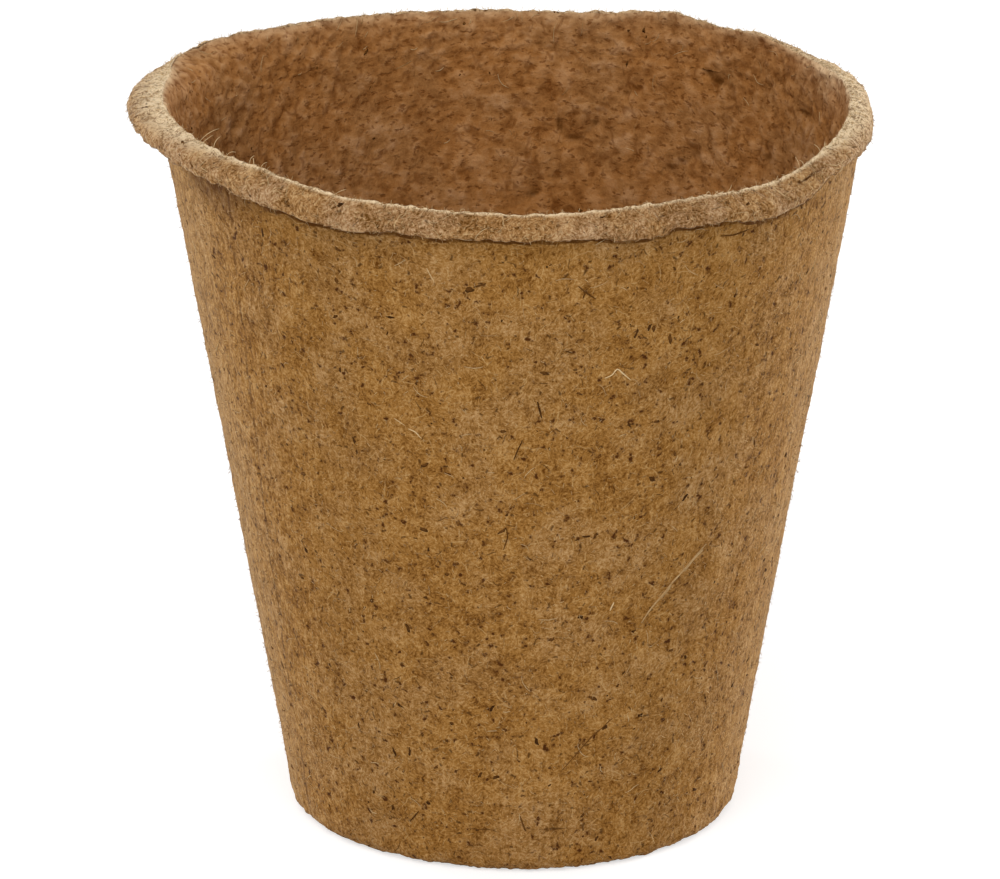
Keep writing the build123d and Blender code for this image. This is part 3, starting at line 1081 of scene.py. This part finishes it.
pulp = {
    "dark": (0.300, 0.160, 0.052, 1), "light": (0.680, 0.500, 0.270, 1),
    "counts": {"outside": 380, "lip": 420, "inside": 160, "heel": 30, "floor": 40},
    "fuzz": {"outside": 10800, "lip": 2600, "heel": 600},
    "fuzzDark": (0.150, 0.062, 0.010, 1), "fuzzLight": (0.620, 0.420, 0.200, 1),
    "ridgeHairs": 2200,
    # longer fibres at chosen places on the outside: azimuths and levels, thickness, tone
    "placed": [
        ([(16.0, 67.0), (17.3, 67.3), (18.2, 68.0), (19.4, 67.3), (20.8, 66.4)], 0.17, 0.95),
        ([(41.9, 42.0), (37.6, 39.8), (32.7, 37.0), (29.6, 34.9), (27.6, 33.2)], 0.26, 0.22),
        ([(41.3, 41.3), (39.0, 40.5), (36.9, 39.1)], 0.30, 0.28), ([(34.0, 37.5), (31.5, 36.0)], 0.22, 0.2),
        ([(-19.4, 60.0), (-18.2, 59.7), (-17.0, 58.9)], 0.15, 0.75),
        ([(-14.3, 81.5), (-13.2, 79.8)], 0.12, 0.7),
        ([(-22.0, 61.2), (-20.0, 60.4)], 0.12, 0.55), ([(20.9, 36.6), (20.2, 35.5)], 0.2, 0.75),
    ],
    # stray hairs on the top edge: azimuth, length, lean, side, curl, thickness
    "strays": [
        (-108, 2.4, 40, 170, 50, 0.06), (-61.5, 3.0, 50, 80, 30, 0.08), (-60.5, 1.9, 65, 95, 20, 0.07),
        (-57, 1.8, 15, 80, 60, 0.07), (-53, 1.6, 30, 60, 90, 0.06), (-47, 1.5, 5, 90, 110, 0.06),
        (-46, 1.6, 35, 130, 100, 0.07), (-44.5, 1.3, 30, 60, 80, 0.06), (-30, 1.7, 60, 40, 30, 0.06),
        (-9.4, 1.2, 20, 170, 160, 0.06), (-8.6, 1.1, 10, 20, 200, 0.06), (-7.9, 0.9, 40, 5, 120, 0.05),
        (33.8, 1.3, 10, 175, 190, 0.07), (34.6, 1.5, 15, 8, 220, 0.07), (35.6, 1.2, 50, 10, 110, 0.06),
        (37.0, 1.2, 70, 5, -50, 0.06), (55.8, 2.0, 5, 150, 45, 0.08), (56.6, 1.4, 30, 60, 80, 0.06),
        (62.8, 1.7, 0, 150, 50, 0.08), (63.6, 1.3, 20, 60, 60, 0.06), (-4.0, 1.1, 70, 0, 30, 0.05),
        (17.0, 1.0, 65, 180, 30, 0.05), (8.0, 0.9, 55, 10, 90, 0.05), (26.0, 0.9, 40, 175, 120, 0.05),
    ],
}


def scatterFibres():
    draw = random.Random(57)
    heap = newHeap()
    for skin, count in pulp["counts"].items():
        rows, columns = skins[skin][0].shape[:2]
        for n in range(count):
            length = 0.8 + 1.9 * draw.random() ** 1.6
            row, column = draw.uniform(0, rows - 1), draw.uniform(0, columns)
            angle, thickness = draw.uniform(0, 2 * math.pi), draw.uniform(0.05, 0.10)
            curl, lift = draw.uniform(-1.3, 1.3), draw.uniform(0.0, 0.10)
            laid = layFibre(skin, row, column, angle, length, thickness, curl, lift, draw)
            addTo(heap, laid, draw.uniform(0.05, 0.75))
    for places, thickness, tone in pulp["placed"]:
        addTo(heap, traceFibre("outside", places, thickness, 0.02), tone)
    heapPiece(heap, "pale_fibres", pulpMaterial)


def growFuzz():
    draw = random.Random(73)
    heap = newHeap()
    for skin, count in pulp["fuzz"].items():
        rows, columns = skins[skin][0].shape[:2]
        lowest = rimRows["crease"] if skin == "lip" else 0
        highest = rimRows["ridge"] if skin == "lip" else rows - 1
        for n in range(count):
            row, column = draw.uniform(lowest, highest), draw.uniform(0, columns)
            length, thickness = draw.uniform(0.25, 0.75), draw.uniform(0.040, 0.090)
            lean, side = draw.uniform(40, 80), draw.uniform(0, 360)
            curl, swing = draw.uniform(-40, 25), draw.uniform(-60, 60)
            hair = standHair(skin, row, column, length, thickness, lean, side, curl, swing, 3)
            addTo(heap, hair, draw.uniform(0.0, 1.0))
    material = toneMaterial("fuzz", pulp["fuzzDark"], pulp["fuzzLight"], 0.2)
    heapPiece(heap, "wall_fuzz", material)


def growRidgeHairs():
    draw = random.Random(91)
    heap = newHeap()
    ridge = rimRows["ridge"]
    columns = skins["lip"][0].shape[1]
    for n in range(pulp["ridgeHairs"]):
        row, column = ridge + draw.uniform(-4, 2), draw.uniform(0, columns)
        length, thickness = 0.2 + 0.6 * draw.random() ** 2, draw.uniform(0.03, 0.055)
        lean, side = draw.uniform(15, 80), draw.uniform(0, 360)
        curl, swing = draw.uniform(-40, 140), draw.uniform(-80, 80)
        hair = standHair("lip", row, column, length, thickness, lean, side, curl, swing)
        addTo(heap, hair, draw.uniform(0.4, 1.0))
    for azimuth, length, lean, side, curl, thickness in pulp["strays"]:
        row, swing = ridge + draw.uniform(-2, 1), draw.uniform(-50, 50)
        column = columnAt("lip", azimuth)
        hair = standHair("lip", row, column, length, thickness, lean, side, curl, swing, 11, 5)
        addTo(heap, hair, 0.85)
    heapPiece(heap, "ridge_hairs", pulpMaterial)


scatterBark()
pulpMaterial = toneMaterial("bleached_fibre", pulp["dark"], pulp["light"], 0.2)
scatterFibres()
growFuzz()
growRidgeHairs()

stage = {
    "floorSize": 1.6,
    "floorColour": (0.9, 0.9, 0.9, 1),
    "seenColour": (0.55, 0.55, 0.55, 1),     # what the camera sees of the floor: shaded, and lifted to white
    "seenGlow": 0.62,
    "world": 0.56,
    "lamps": {
        # name: place, size, watts
        "front_soft": ((-0.15, -0.75, 0.85), 0.9, 7.1),
        "left_soft": ((-0.75, 0.55, 0.11), 0.2, 4.4),
        "right_soft": ((0.75, 0.55, 0.11), 0.2, 6.4),
    },
}


def cameraRays(tree):
    # 1 for what the camera sees straight, in a mirror or through glass
    path = put(tree, "LightPath").outputs
    first = calc(tree, "MAXIMUM", path["Is Camera Ray"], path["Is Glossy Ray"])
    return calc(tree, "MAXIMUM", first, path["Is Transmission Ray"])


def makeStage():
    half = stage["floorSize"] / 2
    mesh = bpy.data.meshes.new("floor")
    corners = [(-half, -half, 0), (half, -half, 0), (half, half, 0), (-half, half, 0)]
    mesh.from_pydata(corners, [], [(0, 1, 2, 3)])
    floor = newObject("floor", mesh)
    material, tree = newMaterial("pale_floor")[:2]
    tree.nodes.clear()
    plain = put(tree, "BsdfDiffuse", {"Color": stage["floorColour"]})
    shaded = put(tree, "BsdfDiffuse", {"Color": stage["seenColour"]})
    glow = put(tree, "Emission", {"Strength": stage["seenGlow"]})
    seen = put(tree, "AddShader", {0: shaded.outputs[0], 1: glow.outputs[0]})
    either = put(tree, "MixShader", {0: cameraRays(tree), 1: plain.outputs[0], 2: seen.outputs[0]})
    clear = put(tree, "BsdfTransparent")
    side = put(tree, "NewGeometry").outputs["Backfacing"]
    both = put(tree, "MixShader", {0: side, 1: either.outputs[0], 2: clear.outputs[0]})
    put(tree, "OutputMaterial", {"Surface": both.outputs[0]})
    mesh.materials.append(material)

    world = bpy.data.worlds.new("studio")
    bpy.context.scene.world = world
    world.use_nodes = True
    tree = world.node_tree
    tree.nodes.clear()
    soft = put(tree, "Background", {"Color": (1, 1, 1, 1), "Strength": stage["world"]})
    white = put(tree, "Background", {"Color": (1, 1, 1, 1), "Strength": 1.0})
    mixed = put(tree, "MixShader", {0: cameraRays(tree), 1: soft.outputs[0], 2: white.outputs[0]})
    put(tree, "OutputWorld", {"Surface": mixed.outputs[0]})

    aim = Vector((0, 0, rimLevel * mm / 2))
    for name, (place, size, watts) in stage["lamps"].items():
        data = bpy.data.lights.new(name, "AREA")
        data.size = size
        data.energy = watts
        lamp = newObject(name, data)
        lamp.location = place
        lamp.rotation_euler = (aim - Vector(place)).to_track_quat("-Z", "Y").to_euler()
    print("stage made")


eye = {
    "distance": 1.1035,
    "elevation": 19.39,      # degrees above the middle of the pot
    "tilt": 19.30,           # degrees that the lens looks down
    "aside": -0.00162,       # the frame's middle is this far left of the pot's axis
    "level": 0.0444,
    "lens": 324.0,
}


def makeCamera():
    data = bpy.data.cameras.new("camera")
    data.lens = eye["lens"]
    data.sensor_width = 36.0
    data.clip_end = 10.0
    camera = newObject("camera", data)
    rise = math.radians(eye["elevation"])
    back, up = eye["distance"] * math.cos(rise), eye["distance"] * math.sin(rise)
    camera.location = (eye["aside"], -back, eye["level"] + up)
    camera.rotation_euler = (math.radians(90 - eye["tilt"]), 0, 0)
    bpy.context.scene.camera = camera
    print("camera placed")


makeStage()
makeCamera()
bpy.context.scene.view_settings.view_transform = "Standard"
